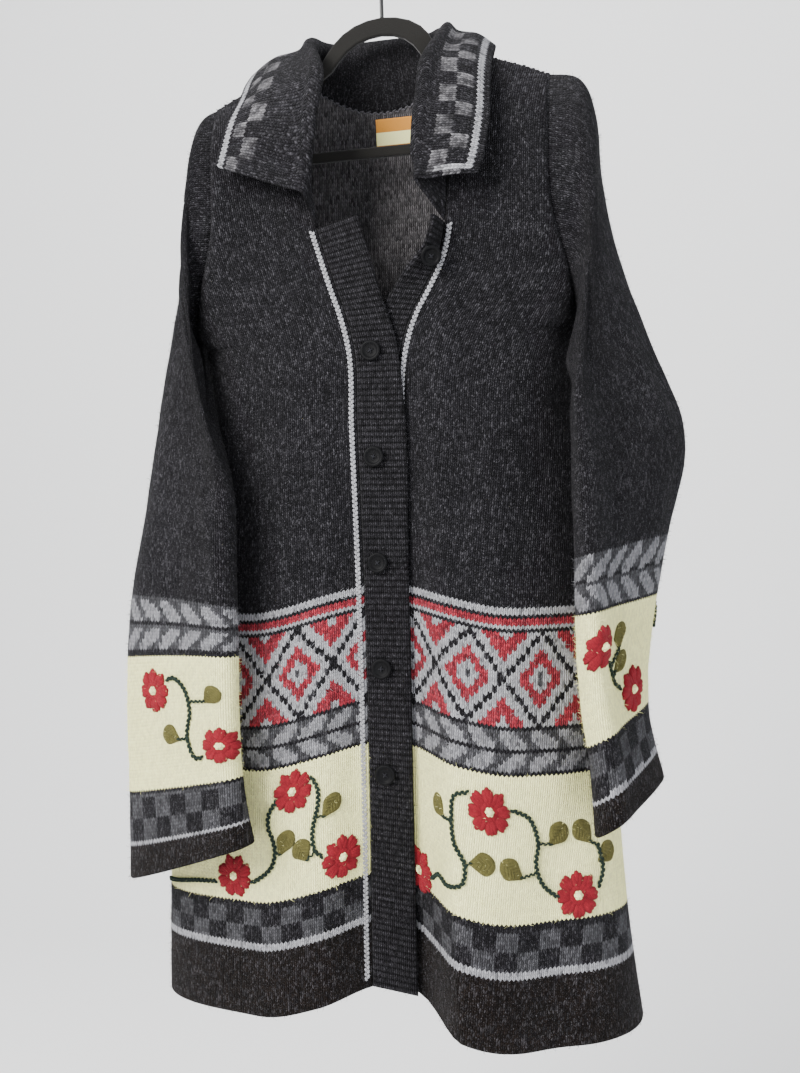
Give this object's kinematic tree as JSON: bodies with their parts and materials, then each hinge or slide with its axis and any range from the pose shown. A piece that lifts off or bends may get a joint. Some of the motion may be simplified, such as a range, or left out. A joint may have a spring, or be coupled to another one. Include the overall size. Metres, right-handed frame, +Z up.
{
  "type": "knit sweater jacket on a hanger",
  "caption": "Long knit sweater jacket with a wing collar, buttoned front and crocheted flower trim, hanging on a slim flocked hanger.",
  "frame": {"origin": "inside top of the hanger's hook, where it rests on a rail", "axes": "+Z up, -Y towards the viewer, the front of the garment, +X towards the wearer's left"},
  "size_m": [0.5261, 0.1922, 1.0068],
  "materials": {
    "wool": "heathered charcoal wool knit with cream, red and grey patterned bands",
    "band_wool": "charcoal ribbed knit button band",
    "button": "dark dished button with a low sheen",
    "label": "woven satin label, orange with a plain cream strip",
    "size_tag": "small woven tan tag",
    "flocked": "black flocked plastic",
    "hook": "polished steel wire"
  },
  "bodies": {
    "root": {"back": "wool", "front_right": "wool", "front_left": "wool", "sleeve_right": "wool", "sleeve_left": "wool", "collar": "wool", "band_right": "band_wool", "band_left": "band_wool", "button_1": "button", "button_2": "button", "button_3": "button", "button_4": "button", "button_5": "button", "button_6": "button", "label": "label", "size_tag": "size_tag", "hanger": "flocked", "hanger_hook": "hook"}
  },
  "joints": []
}
